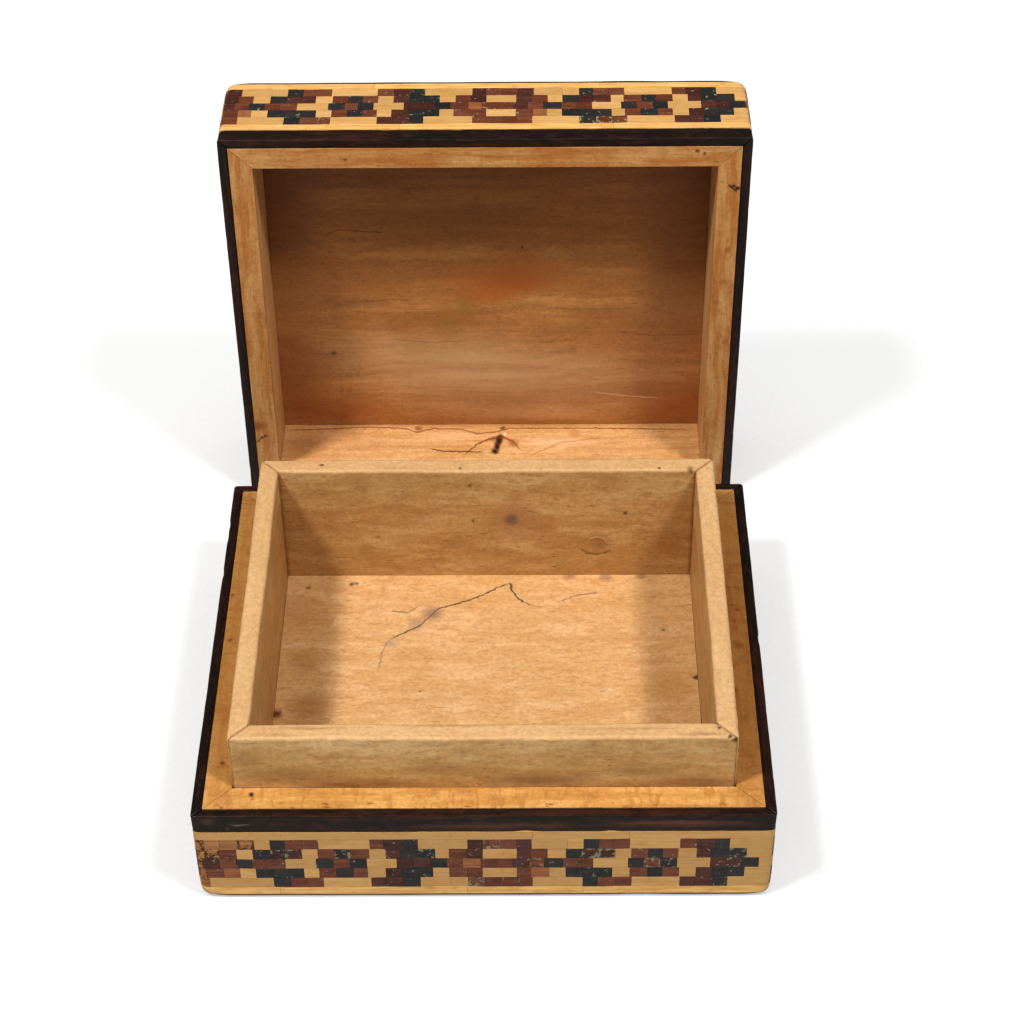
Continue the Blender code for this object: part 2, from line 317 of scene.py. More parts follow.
def wear(bm, turn, lid, wobble, sharp=0.0):
    """Turns a piece to its side, rounds the box's handled edges and wears its faces a little: wobble
    is how far they wander, and sharp how deep the dents in an arris go."""
    bmesh.ops.rotate(bm, verts=bm.verts, cent=(0, 0, 0),
                     matrix=Matrix.Rotation(math.radians(turn), 3, "Z"))
    half_x, half_y = WIDTH / 2, DEPTH / 2
    for vert in bm.verts:
        point = vert.co.copy()
        # The edges are round by about 1.15 mm, more at the outer corners and less at the rim.
        top = LID_TALL - point.z if lid else point.z
        corner = max(0, 1 - (half_x - abs(point.x)) / 0.004)
        corner *= max(0, 1 - (half_y - abs(point.y)) / 0.004)
        low = max(0, 1 - top / 0.006)
        rim = max(0, 1 - (LID_TALL - top if lid else BASE_TOP - top) / 0.004)
        radius = (1.15 + 1.3 * corner * low - 0.45 * rim) * MM
        radius += 0.25 * MM * noise.noise(point * 90)
        moved, drop = soften(point, half_x, half_y, top, radius)
        moved.z += -drop if lid else drop
        push = noise.noise_vector(moved * 130) + 0.5 * noise.noise_vector(moved * 420)
        moved += push * wobble
        if sharp:
            dent = max(0, noise.noise(moved * 260) - 0.42)
            moved -= Vector((moved.x, moved.y, 0)).normalized() * dent * sharp
        moved.x = max(-half_x, min(half_x, moved.x))
        moved.y = max(-half_y, min(half_y, moved.y))
        moved.z = max(0, min(LID_TALL if lid else LINER_HIGH.z, moved.z))
        vert.co = moved
    if lid:
        bmesh.ops.transform(bm, matrix=LID_STANDS, verts=bm.verts)


def make_piece(name, bm, body, materials, nodes, weighted=True):
    """Makes the finished piece of a bmesh and hangs it on its body. Weighted normals suit broad
    soft faces; without them every edge over 42 degrees stays sharp."""
    bmesh.ops.recalc_face_normals(bm, faces=bm.faces)
    mesh = bpy.data.meshes.new(name)
    bm.to_mesh(mesh)
    bm.free()
    for material in materials:
        mesh.materials.append(material)
    mesh.shade_smooth()
    if not weighted:
        mesh.set_sharp_from_angle(angle=math.radians(42))
    piece = bpy.data.objects.new(name, mesh)
    bpy.context.scene.collection.objects.link(piece)
    if weighted:
        piece.modifiers.new("even_faces", "WEIGHTED_NORMAL")
    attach(piece, body)
    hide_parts(*nodes)
    return piece


def slab(inset, low, high, arris, at, cells=(40, 34)):
    """A board that fills the box, inset all round, with its faces divided into cells."""
    bm = bmesh.new()
    size_x, size_y = WIDTH - 2 * inset, DEPTH - 2 * inset
    bmesh.ops.create_grid(bm, x_segments=cells[0], y_segments=cells[1], size=0.5)
    bmesh.ops.scale(bm, verts=bm.verts, vec=(size_x, size_y, 1))
    bmesh.ops.translate(bm, verts=bm.verts, vec=(0, 0, high))
    grown = bmesh.ops.extrude_face_region(bm, geom=bm.faces[:])
    under = [v for v in grown["geom"] if isinstance(v, bmesh.types.BMVert)]
    bmesh.ops.translate(bm, verts=under, vec=(0, 0, low - high))
    bmesh.ops.recalc_face_normals(bm, faces=bm.faces)
    rims = [e for e in bm.edges if e.calc_face_angle(0) > 1]
    bmesh.ops.bevel(bm, geom=rims, offset=arris, segments=2, profile=0.5, affect="EDGES",
                    material=-1, clamp_overlap=True)
    number_board(bm, at)
    return bm


# Pine, planed: warm orange-brown with clear darker growth lines.
pine = timber("pine_planed", ("#8a5a30", "#b07c46", "#c99659", "#dcae72"), ("#a5713f", 0.4),
              ("#6b4020", 0.5))
BOTTOM_LOW, BOTTOM_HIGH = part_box("base_bottom_board")
make_piece("bottom_board", slab(LINER_INSET, BOTTOM_LOW.z, BOTTOM_HIGH.z, 0.1 * MM,
                                Vector((0.2, 0, 0)), (4, 4)),
           "base", [pine], ["base_bottom_board"])
# A rebate along the outer top edge of each wall takes the stringing.
REBATE_TALL = 4.2 * MM
REBATE_DEEP = 2.0 * MM
for order, side in enumerate(TURNS):
    reach = half_sizes(side)[1]
    wall = board_bar(side, 1.3 * MM, LINER_INSET - 0.05 * MM, FOOT_HIGH.z + HAIRLINE,
                     BASE_TOP - 0.95 * MM, 0.05 * MM, Vector((order * 0.3, 0, 0)), 20 * MM)
    bmesh.ops.bisect_plane(wall, geom=geometry(wall), plane_co=(0, 0, BASE_TOP - REBATE_TALL),
                           plane_no=(0, 0, 1))
    for vert in wall.verts:
        if vert.co.z > BASE_TOP - REBATE_TALL - 0.1 * MM:
            vert.co.y = max(vert.co.y, REBATE_DEEP - reach)
    wear(wall, TURNS[side], False, 0)
    make_piece("carcase_" + side, wall, "base", [pine], ["base_wall_" + side])

# ---------------------------------------------------------------------------------------------
# Foot veneer: a sheet of ebony under the base, trimmed flush with the sides, its edge rubbed round.
# Ebony, scraped and waxed: near black with brown and green-black streaks, satin gloss.
ebony_marks = ((-42.6, -44.1, 19.6, 2.4, 0.35, "#857a70", 0.55),
               (-44.6, -44.1, 18.6, 0.6, 0.4, "#6f665c", 0.5),
               (-48.0, -44.1, 20.4, 1.6, 1.0, "#5a3c2c", 0.6),
               (-20.0, -43.0, 21.7, 7.0, 0.8, "#4a2c20", 0.6),
               (14.0, -43.4, 21.7, 12.0, 0.9, "#472a1e", 0.6),
               (34.0, -44.1, 19.6, 16.0, 1.3, "#633a28", 0.9),
               (2.0, -44.1, 19.2, 18.0, 1.2, "#5a3626", 0.9))
ebony = timber("ebony_waxed", ("#120a07", "#1d110d", "#271610", "#3b1f16"), ("#191511", 0.8),
               ("#0b0705", 0.6), ("#4f3020", 0.3, 3.1, 0.9), rough=(0.34, 0.6), relief=0.12,
               stains=0.4, gloss=0.2, marks=ebony_marks)
foot = slab(0, 0, FOOT_HIGH.z, 0.08 * MM, Vector((0.1, 0.2, 0)), (60, 52))
# Extra edges near its rim let the sheet follow the rounding of the sides.
for inset in (0.3, 0.6, 0.9, 1.3, 2.0):
    for sign in (-1, 1):
        for plane, normal in (((sign * (WIDTH / 2 - inset * MM), 0, 0), (1, 0, 0)),
                              ((0, sign * (DEPTH / 2 - inset * MM), 0), (0, 1, 0))):
            bmesh.ops.bisect_plane(foot, geom=geometry(foot), plane_co=plane, plane_no=normal)
wear(foot, 0, False, 0.01 * MM)
make_piece("foot_veneer", foot, "base", [ebony], ["base_foot_veneer"])

# ---------------------------------------------------------------------------------------------
# Mosaic bands of the base: end slices of a block glued up from square sticks of coloured woods, five
# rows high between two pale strips. Each tessera is its own solid, cut and fitted by hand.
# Rows from top to bottom; L pale, R red-brown, D dark brown, B mid brown, G green-black. W is the
# worn wood of a damaged corner.
MOTIF = ("LLGRRLLLRDGLLLDRRDL",
         "LGDDLRGRLDGGLRDLLDR",
         "GRRLLGRGLLDDGRBRRDR",
         "LGGGLRGRLDGGLRRLLRB",
         "LLGRRLLLDDGLLLRRRRL")
# How far some rows slipped along the block as it was glued, in columns.
ROW_SHIFTS = {1: 0.04, 3: -0.2, 5: 0.05}


def tessera_wood(name, colours, second, chip="#8c8b70", chip_over=0.64, rough=(0.35, 0.55)):
    """One coloured wood of the mosaic. Each tessera has its own tone and share of chips."""
    material, tree, shader = new_material(name)
    board = node(tree, "Attribute", attribute_name="board").outputs["Vector"]
    tone = node(tree, "Attribute", attribute_name="tone").outputs["Fac"]
    loss = node(tree, "Attribute", attribute_name="loss").outputs["Fac"]
    edge = node(tree, "Attribute", attribute_name="edge").outputs["Fac"]
    # Streaks along the band, about 0.3 mm apart.
    streak = node(tree, "Mapping", {"Vector": board, "Scale": (130, 2300, 2300)})
    streak = node(tree, "TexNoise", {"Vector": streak.outputs[0], "Scale": 1, "Detail": 4,
                                     "Roughness": 0.6}).outputs[0]
    shade = node(tree, "Math", {0: tone, 1: 0.16, 2: streak}, operation="MULTIPLY_ADD").outputs[0]
    places = (0, 0.36, 0.52, 0.7)
    colour = node(tree, "ValToRGB", {"Fac": shade}, stops=list(zip(places, colours))).outputs[0]
    tint = node(tree, "MapRange", {"Value": tone, "From Min": -0.2, "From Max": 1,
                                   "To Max": 0.65}).outputs[0]
    colour = node(tree, "Mix", {0: tint, 6: colour, 7: linear(second)},
                  data_type="RGBA").outputs[2]
    cloud = node(tree, "TexNoise", {"Vector": board, "Scale": 420, "Detail": 4,
                                    "Roughness": 0.6}).outputs[0]
    dirt = node(tree, "MapRange", {"Value": cloud, "From Min": 0.52, "From Max": 0.75,
                                   "To Max": 0.5}).outputs[0]
    colour = node(tree, "Mix", {0: dirt, 6: colour, 7: linear(colours[0])},
                  data_type="RGBA").outputs[2]
    # Chips, 0.3 to 1 mm, where the varnish and wood have flaked to a pale grey-green filler.
    flake = node(tree, "TexNoise", {"Vector": board, "Scale": 1050, "Detail": 4,
                                    "Roughness": 0.6, "Distortion": 0.3}).outputs[0]
    brittle = node(tree, "Math", {0: edge, 1: 0.11, 2: 0.07}, operation="MULTIPLY_ADD").outputs[0]
    flake = node(tree, "Math", {0: loss, 1: brittle, 2: flake}, operation="MULTIPLY_ADD").outputs[0]
    flake = node(tree, "MapRange", {"Value": flake, "From Min": chip_over,
                                    "From Max": chip_over + 0.035}).outputs[0]
    chipped = node(tree, "Math", {0: flake, 1: 0.85}, operation="MULTIPLY").outputs[0]
    colour = node(tree, "Mix", {0: chipped, 6: colour, 7: linear(chip)},
                  data_type="RGBA").outputs[2]
    tree.links.new(colour, shader.inputs["Base Color"])
    gloss = node(tree, "MapRange", {"Value": cloud, "From Min": 0.35, "From Max": 0.65,
                                    "To Min": rough[0], "To Max": rough[1]}).outputs[0]
    gloss = node(tree, "Math", {0: flake, 1: 0.35, 2: gloss}, operation="MULTIPLY_ADD")
    tree.links.new(gloss.outputs[0], shader.inputs["Roughness"])
    height = node(tree, "Math", {0: flake, 1: -1.5, 2: streak}, operation="MULTIPLY_ADD")
    bump = node(tree, "Bump", {"Height": height.outputs[0], "Distance": 0.03 * MM,
                               "Strength": 0.7})
    tree.links.new(bump.outputs[0], shader.inputs["Normal"])
    shader.inputs["IOR"].default_value = 1.5
    shader.inputs["Specular IOR Level"].default_value = 0.25
    return material


# Varnished end slices: pale satinwood gone honey yellow, red and brown rosewood, stained green-black.
tessera_woods = {
    "L": tessera_wood("satinwood_varnished", ("#b08242", "#cf9e5b", "#e1b370", "#efc587"),
                      "#9a703c", chip_over=0.95),
    "G": tessera_wood("bog_oak_varnished", ("#161818", "#252526", "#2f2f2d", "#3e3936"),
                      "#2f2727"),
    "R": tessera_wood("rosewood_varnished", ("#442012", "#623421", "#744029", "#885234"),
                      "#633b32"),
    "D": tessera_wood("dark_rosewood_varnished", ("#2a1410", "#44241c", "#562e24", "#6a3d2d"),
                      "#452a28"),
    "B": tessera_wood("walnut_varnished", ("#684024", "#895631", "#9a623c", "#ad7549"),
                      "#8b5c42"),
    "W": tessera_wood("worn_pine_flakes", ("#4f2e1c", "#8a5a34", "#ab7646", "#c8945c"), "#7a5238",
                      chip="#3a2a1e", chip_over=0.62, rough=(0.5, 0.7)),
}
WOOD_ORDER = {letter: place for place, letter in enumerate(tessera_woods)}
SKIN = 1.2 * MM
BAND_TALL = 16.6 * MM
STRIP_TALL = 1.95 * MM
ROW_TALL = (BAND_TALL - 2 * STRIP_TALL) / 5


def stick_band(length, columns, start, tall, thick, losses, swaps, seed, strip_tones=(0, 0)):
    """Lays one band of tesserae flat: along X, rows across Y from the top row down, face up. columns
    is how many fit along it, and start where the motif's count begins. losses and swaps are the
    chipped and the replaced tesserae, by column and row, and strip_tones how much darker the pale
    strips below and above the rows are drawn."""
    rng = random.Random(seed)
    bm = bmesh.new()
    tone_layer = bm.faces.layers.float.new("tone")
    loss_layer = bm.faces.layers.float.new("loss")
    board_layer = bm.verts.layers.float_vector.new("board")
    edge_layer = bm.verts.layers.float.new("edge")
    scale = tall / BAND_TALL
    strip, row_tall = STRIP_TALL * scale, ROW_TALL * scale
    column = length / columns
    gap = 0.018 * MM

    def lay(x0, x1, y0, y1, letter, loss, cells, tone=None):
        """One tessera or strip between two x and two y. Its edge points are marked, for the chips."""
        grid = bmesh.ops.create_grid(bm, x_segments=cells[0], y_segments=cells[1], size=0.5)
        verts = grid["verts"]
        faces = list({f for v in verts for f in v.link_faces})
        for vert in verts:
            vert[edge_layer] = float(vert.is_boundary)
        bmesh.ops.scale(bm, verts=verts, vec=(x1 - x0 - 2 * gap, y1 - y0 - 2 * gap, 1))
        sunk = -rng.random() * 0.03 * MM
        bmesh.ops.translate(bm, verts=verts, vec=((x0 + x1) / 2, (y0 + y1) / 2, sunk))
        grown = bmesh.ops.extrude_face_region(bm, geom=faces)
        under = [v for v in grown["geom"] if isinstance(v, bmesh.types.BMVert)]
        bmesh.ops.translate(bm, verts=under, vec=(0, 0, -thick - sunk))
        offset = Vector((rng.random(), rng.random(), rng.random()))
        if tone is None:
            tone = rng.uniform(0.6, 1.2) if letter == "L" else rng.uniform(-0.8, 0.8)
        for vert in verts + under:
            vert[board_layer] = vert.co + offset
        for face in {f for v in verts + under for f in v.link_faces}:
            face[tone_layer] = tone
            face[loss_layer] = loss
            face.material_index = WOOD_ORDER[letter]

    first = math.floor(start) - 1
    last = first + math.ceil(columns) + 2
    for row, letters in enumerate(MOTIF, 1):
        high = tall - strip - (row - 1) * row_tall
        edges = [c + ROW_SHIFTS.get(row, 0) + rng.uniform(-0.1, 0.1) for c in range(first, last + 1)]
        run = None
        for index, c in enumerate(range(first, last)):
            letter = swaps.get((c, row), letters[(c - 1) % len(letters)])
            loss = losses.get((c, row), 0.3 if letter != "L" and rng.random() < 0.08 else 0)
            x0 = -length / 2 + (edges[index] - start) * column
            x1 = -length / 2 + (edges[index + 1] - start) * column
            x0, x1 = max(x0, -length / 2), min(x1, length / 2)
            if x1 - x0 < 4 * gap:
                continue
            if run and run[4] == letter == "L" and not loss:
                run[1] = x1
                continue
            if run:
                lay(*run)
            run = [x0, x1, high - row_tall, high, letter, loss, (2, 1) if letter == "L" else (4, 4)]
        lay(*run)
    joints = sorted(rng.uniform(-0.5, 0.5) * length for _ in range(3))
    for low, high, tone in ((0, strip, strip_tones[0]), (tall - strip, tall, strip_tones[1])):
        ends = [-length / 2, *joints, length / 2]
        for x0, x1 in zip(ends, ends[1:]):
            if x1 - x0 > 4 * gap:
                lay(x0, x1, low, high, "L", 0, (max(2, int((x1 - x0) / 2 / MM)), 1),
                    tone + rng.uniform(-0.2, 0.2))
        joints = sorted(rng.uniform(-0.5, 0.5) * length for _ in range(2))
    # The rows wander a little, as slices do that were glued by eye.
    for vert in bm.verts:
        inside = min(vert.co.y, tall - vert.co.y) / strip
        sway = 0.16 * MM * noise.noise(Vector((vert.co.x * 70, vert.co.y * 25, seed)))
        sway += 0.1 * MM * noise.noise(Vector((vert.co.x * 240, vert.co.y * 160, seed)))
        vert.co.y += sway * min(1, max(0, inside))
    return bm


def cut_lines(bm, axis, values):
    """Adds edge loops across a piece where its corners will be rounded."""
    normal = Vector([float(i == axis) for i in range(3)])
    for value in values:
        bmesh.ops.bisect_plane(bm, geom=geometry(bm), plane_co=normal * value, plane_no=normal,
                               dist=1e-7)


def stand_band(bm, side, low, near=0.0):
    """Stands a flat band against one side, with its foot at low, and mitres its ends."""
    half_length, reach = half_sizes(side)
    upright = Matrix(((1, 0, 0, 0), (0, 0, -1, -reach + near), (0, 1, 0, low), (0, 0, 0, 1)))
    bmesh.ops.transform(bm, matrix=upright, verts=bm.verts)
    cut_mitres(bm, side, 0.01 * MM)
    ends = [half_length - inset * MM for inset in (0.2, 0.45, 0.8, 1.2, 1.8)]
    cut_lines(bm, 0, ends + [-end for end in ends])


# Bands: columns across the side, where the count starts, chipped tesserae, and replaced ones.
base_bands = {
    "front": (35.32, -1.57,
              {(3, 2): 0.9, (4, 2): 0.9, (7, 2): 0.7, (12, 2): 0.95, (14, 5): 0.8, (15, 5): 0.8,
               (16, 1): 0.8, (16, 2): 0.7, (22, 2): 0.8, (23, 2): 1.0, (26, 3): 0.7, (27, 3): 0.6,
               (31, 2): 0.8, (31, 3): 0.6, (1, 3): 0.5, (11, 1): 0.4, (30, 5): 0.4,
               (-1, 2): 1.0, (-2, 2): 1.0, (-2, 3): 0.9, (-2, 4): 0.8, (-2, 1): 0.9,
               (21, 1): 0.6, (19, 1): 0.6, (2, 1): 0.5, (1, 1): 0.8},
              {(-2, 1): "W", (-1, 1): "W", (0, 1): "W", (1, 1): "W", (-2, 2): "W", (-1, 2): "W",
               (-2, 3): "W", (-2, 5): "W", (-1, 5): "L", (-1, 4): "R", (33, 2): "L",
               (33, 3): "L", (33, 4): "L", (33, 5): "L", (-2, 4): "W"}),
    "back": (35.0, 0.4, {}, {}),
    "left": (30.6, -5.1, {(0, 3): 0.8}, {}),
    "right": (30.6, 4.2, {}, {}),
}
for order, (side, (columns, start, losses, swaps)) in enumerate(base_bands.items()):
    length = 2 * half_sizes(side)[0]
    band = stick_band(length, columns, start, BAND_TALL - 2 * HAIRLINE, SKIN, losses, swaps,
                      10 + order, (-0.2, 0.8))
    stand_band(band, side, FOOT_HIGH.z + HAIRLINE)
    cut_lines(band, 2, [1.5 * MM, 2.2 * MM])
    wear(band, TURNS[side], False, 0.012 * MM)
    make_piece("base_band_" + side, band, "base", tessera_woods.values(),
               ["base_mosaic_" + side], weighted=False)

# ---------------------------------------------------------------------------------------------
# Stringing of the base: square strips of ebony let into the top corner of the carcase, mitred, with
# the arris rubbed by the lid.
STRINGING_WIDE = 1.9 * MM
STRINGING_ARRIS = 0.32 * MM
for order, side in enumerate(TURNS):
    low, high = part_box("base_stringing_" + side)
    strip = board_bar(side, 0, STRINGING_WIDE, low.z, high.z, STRINGING_ARRIS,
                      Vector((order * 0.4, 0.3, 0)), 1.0 * MM, segments=3)
    wear(strip, TURNS[side], False, 0.06 * MM, 0.8 * MM)
    make_piece("base_stringing_piece_" + side, strip, "base", [ebony],
               ["base_stringing_" + side])

# ---------------------------------------------------------------------------------------------
# Rim facing of the base: thin boxwood glued over the top edges of the pine, mitred at the corners.
# Boxwood, varnished: orange, close grained, cross-mottled with small brown spots.
# The front facing also has small brown specks, scattered by chance.
RIM_Z = 21.7
speck_draw = random.Random(5)
rim_specks = [(speck_draw.uniform(-47, 47), speck_draw.uniform(-42.2, -41.2), RIM_Z,
               speck_draw.uniform(0.3, 1.2), 0.35, "#6e4220", speck_draw.uniform(0.4, 0.8))
              for _ in range(14)]
# Spots and holes in the facing. The two long marks down the left and right facings are painted shade,
# where the liner shades them.
facing_marks = marks_on(2, RIM_Z,
    (-40.6, -39.0, 0.75, "#2c1712", 1.0), (-40.4, -40.2, 0.5, "#7a5a40", 0.8),
    (-47.9, -0.3, 0.6, "#5e3216", 0.8), (-46.4, -31.6, 0.7, "#5e3216", 0.8),
    (-48.5, 12.0, 0.6, "#6e3c1a", 0.7), (-46.0, -20.0, 3.0, "#a8692c", 0.5),
    (45.6, -13.8, 0.7, "#4c2a14", 0.8), (47.4, 7.3, 0.5, "#6a3a1a", 0.8),
    (46.8, -2.0, 1.6, "#7a441c", 0.5), (46.8, 0, 6.0, 60.0, "#86480c", 0.72),
    (-46.8, 0, 6.0, 60.0, "#9c5e20", 0.4))
boxwood = timber("boxwood_varnished", ("#936335", "#b68849", "#c49658", "#cda267"), ("#b78149", 0.5),
                 ("#82542b", 0.4), ("#ab763a", 0.75, 1.0, 4.0), rough=(0.4, 0.55), stains=0.75,
                 grain=(0.05, 0.6), marks=facing_marks + rim_specks)
FACING_NEAR = 1.93 * MM
FACING_THICK = 0.92 * MM
for order, side in enumerate(TURNS):
    facing = board_bar(side, FACING_NEAR, LINER_INSET - 0.06 * MM, BASE_TOP - FACING_THICK, BASE_TOP,
                       0.06 * MM, Vector((order * 0.2, 0.6, 0.1)), 2.5 * MM, gap=0.05 * MM)
    wear(facing, TURNS[side], False, 0.02 * MM)
    make_piece("base_rim_facing_" + side, facing, "base", [boxwood],
               ["base_rim_" + side])

# ---------------------------------------------------------------------------------------------
# Liner: four mitred boards of sycamore standing in the base, proud of the rim, which the lid drops
# over. They are nailed at the corners by iron brads, and their top edges are rubbed pale.
LINER_TOP = LINER_HIGH.z
RUBBED_Z = 34.1
liner_pale = (LINER_TOP - 0.9 * MM, LINER_TOP - 0.25 * MM, "#c8a278", 0.62)
# liner_shade paints the boards darker towards their foot, as painted shade low inside the liner; it
# darkens their outer faces too.
liner_shade = (LINER_TOP - 13 * MM, LINER_TOP - 4 * MM, "#eec592", 0.2)
# Holes and splits in the top edges, then stains inside the back board and outside the front one.
liner_marks = [
    *marks_on(2, RUBBED_Z,
              (-32.2, 35.7, 0.55, "#5b3a22", 0.9), (-5.2, 34.6, 0.5, "#5b3a22", 0.8),
              (33.5, 34.2, 0.5, "#5b3a22", 0.8), (42.6, -37.2, 0.6, "#3c2413", 0.9),
              (40.8, -35.0, 0.6, "#3c2413", 0.9), (-31.0, -34.9, 9.0, 0.5, "#8f6538", 0.7),
              (-36.0, -36.4, 5.0, 0.7, "#9c7444", 0.6), (-6.0, -34.4, 12.0, 0.4, "#9c7444", 0.6),
              (22.0, -35.2, 14.0, 0.4, "#956c3e", 0.6), (38.0, -36.6, 5.0, 0.5, "#7c5230", 0.6)),
    *marks_on(1, 33.7,
              (5.4, 21.5, 6.0, "#9a6a4c", 0.6), (4.6, 21.6, 2.0, "#655452", 0.7),
              (11.3, 19.5, 3.4, "#a0683c", 0.5), (21.8, 15.2, 3.4, "#86582c", 0.75),
              (27.0, 23.1, 0.6, "#5f3a1e", 0.9), (-2.9, 21.2, 0.5, "#5f3a1e", 0.8),
              (-3.4, 30.4, 0.7, "#6f4626", 0.7), (36.2, 16.0, 6.0, "#93562a", 0.35),
              (-37.0, 20.0, 6.5, "#9a6234", 0.3), (-25.0, 31.0, 3.4, "#93562a", 0.4)),
    *marks_on(1, -37.4,
              (-34.0, 25.0, 11.0, 2.6, "#7c5230", 0.65), (-22.0, 22.6, 14.0, 2.0, "#84562e", 0.7),
              (-8.0, 26.4, 9.0, 1.6, "#8a5e36", 0.5), (10.0, 23.6, 13.0, 2.4, "#7c5230", 0.65),
              (28.0, 25.6, 9.0, 2.0, "#84562e", 0.55), (36.0, 22.4, 12.0, 2.6, "#7c5230", 0.7),
              (-41.0, 29.0, 3.4, 3.0, "#8a5e36", 0.5)),
    (39.5, 34.1, 33.8, 0.9, 0.9, "#4f3019", 0.8), (43.6, -37.4, 33.4, 0.8, 0.8, "#3c2413", 0.9),
    (-40.5, -26.0, 8.5, 1.2, 1.2, "#5b2f12", 0.9), (40.5, -14.0, 8.0, 0.9, 0.9, "#4a2a14", 0.9)]
sycamore = timber("sycamore_waxed", ("#a77e4c", "#bd9662", "#c6a26f", "#ceae7e"), ("#b58f57", 0.6),
                  ("#7c5832", 0.6), ("#a8804c", 0.45, 4.0, 1.6), stains=0.5, rubbed=liner_pale,
                  grain=(0.07, 0.36), shade=liner_shade, marks=liner_marks,
                  checks=(((0, 2), ((19.9, 15.4), (20.7, 16.9), (22.2, 17.4), (23.7, 16.6),
                                    (24.2, 15.4)), 0.35, "#dcb98e", 0.5),
                          ((0, 2), ((18.6, 14.6), (20.0, 12.9), (22.4, 12.5), (25.0, 13.6)), 0.35,
                           "#7a4a26", 0.7)))
LINER_THICK = 3.7 * MM
for order, side in enumerate(TURNS):
    low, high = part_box("liner_" + side)
    panel = board_bar(side, LINER_INSET, LINER_INSET + LINER_THICK, low.z, high.z, 0.65 * MM,
                      Vector((order * 0.25, 1.1, 0.2)), 1.2 * MM, gap=0.06 * MM, segments=4)
    bmesh.ops.rotate(panel, verts=panel.verts, cent=(0, 0, 0),
                     matrix=Matrix.Rotation(math.radians(TURNS[side]), 3, "Z"))
    half_x, half_y = WIDTH / 2 - LINER_INSET, DEPTH / 2 - LINER_INSET
    # The corners are rounded by 0.8 mm, and only the top 2 mm is worn uneven.
    for vert in panel.verts:
        moved, drop = soften(vert.co.copy(), half_x, half_y, 1.0, 0.8 * MM)
        edge = max(0, 1 - (LINER_TOP - moved.z) / 0.002)
        push = noise.noise_vector(moved * 170) * 0.5 + noise.noise_vector(moved * 60)
        push += noise.noise_vector(moved * 420) * 0.4
        moved += push * (0.03 + 0.2 * edge) * MM
        moved.x = max(-half_x, min(half_x, moved.x))
        moved.y = max(-half_y, min(half_y, moved.y))
        moved.z = min(LINER_TOP, moved.z)
        vert.co = moved
    make_piece("liner_board_" + side, panel, "base", [sycamore], ["liner_" + side])

# ---------------------------------------------------------------------------------------------
# Floor of the liner: a thin sheet of quartered sycamore dropped in, flecked by its rays, with a few
# hairline checks, dark stains by its left end, and painted shade of the end boards along both ends.
FLOOR_LOW, FLOOR_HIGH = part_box("liner_floor")
FLOOR_Z = FLOOR_HIGH.z / MM
# The broad dark patches near both ends are painted shade of the end boards, over stains; the small
# marks are stains and holes.
floor_marks = marks_on(2, FLOOR_Z,
    (-35.5, 9.5, 5.0, "#986226", 0.55), (-34.0, -3.0, 6.0, "#935a1c", 0.6),
    (-36.0, -12.0, 6.0, "#8b541c", 0.6), (-35.0, -24.0, 8.0, "#8b541c", 0.6),
    (-37.0, 22.0, 7.0, "#9e642a", 0.45), (-40.2, -5.0, 1.8, "#5c2c0e", 0.9),
    (38.0, -18.0, 7.0, "#a86e34", 0.45), (35.0, 2.0, 6.0, "#ab7238", 0.4),
    (-11.1, 22.5, 2.6, "#8c6c5c", 0.8), (-14.2, 19.6, 2.2, "#a18670", 0.7),
    (-19.0, 14.0, 2.0, "#a78a74", 0.5), (16.1, 33.4, 1.6, "#8a5f50", 0.6),
    (23.4, 33.1, 1.6, "#8a5f50", 0.6), (30.6, 33.2, 1.3, "#8a5f4c", 0.6),
    (40.2, 4.5, 1.0, "#4a2a14", 0.9), (34.4, 17.5, 0.6, "#5a3a1e", 0.8),
    (-12.8, 0.9, 0.5, "#6b4422", 0.7), (30.5, -13.4, 0.6, "#5a3a1e", 0.7),
    (-27.5, 31.1, 0.8, "#5f3f26", 0.9), (-26.6, 31.2, 0.6, "#5f3f26", 0.8),
    (-36.2, 30.0, 0.7, "#6b4422", 0.8))
quartered = timber("quartered_sycamore_planed", ("#b38857", "#c59b6a", "#cba374", "#d2ac80"),
                   ("#c39861", 0.5), ("#8e653b", 0.5), ("#b98a53", 0.55, 2.4, 0.9), stains=0.5,
                   grain=(0.1, 0.42), marks=floor_marks,
                   checks=(((0, 1), ((-18.8, 15.7), (-16.2, 17.4), (-12.7, 19.8), (-9.6, 24.2),
                                     (-4.3, 26.3), (-0.7, 28.3), (2.2, 30.4), (4.8, 31.7)),
                            0.3, "#4f3a34", 0.9),
                           ((1, 0), ((31.8, 4.7), (29.5, 5.1), (27.8, 6.0), (26.2, 7.2),
                                     (25.2, 8.8), (24.6, 12.6)), 0.34, "#4f3a34", 0.9),
                           ((0, 1), ((14.0, 26.0), (16.0, 27.0), (18.4, 28.2), (22.4, 28.9)),
                            0.26, "#7a5244", 0.7),
                           ((0, 1), ((-18.8, 23.8), (-15.6, 23.2), (-13.4, 25.0)), 0.3,
                            "#7a5c50", 0.7),
                           ((1, 0), ((16.0, -18.8), (11.9, -20.2), (7.6, -20.6)), 0.3,
                            "#8a6a5c", 0.5)))
floor_sheet = slab(FLOOR_LOW.x + WIDTH / 2 - 0.25 * MM, FLOOR_LOW.z, FLOOR_HIGH.z, 0.05 * MM,
                   Vector((0.4, 1.7, 0.3)), (50, 42))
for vert in floor_sheet.verts:
    if vert.co.z > FLOOR_HIGH.z - 0.2 * MM:
        vert.co.z -= (0.06 + 0.06 * noise.noise(vert.co * 90)) * MM
make_piece("liner_floor_sheet", floor_sheet, "base", [quartered],
           ["liner_floor"])

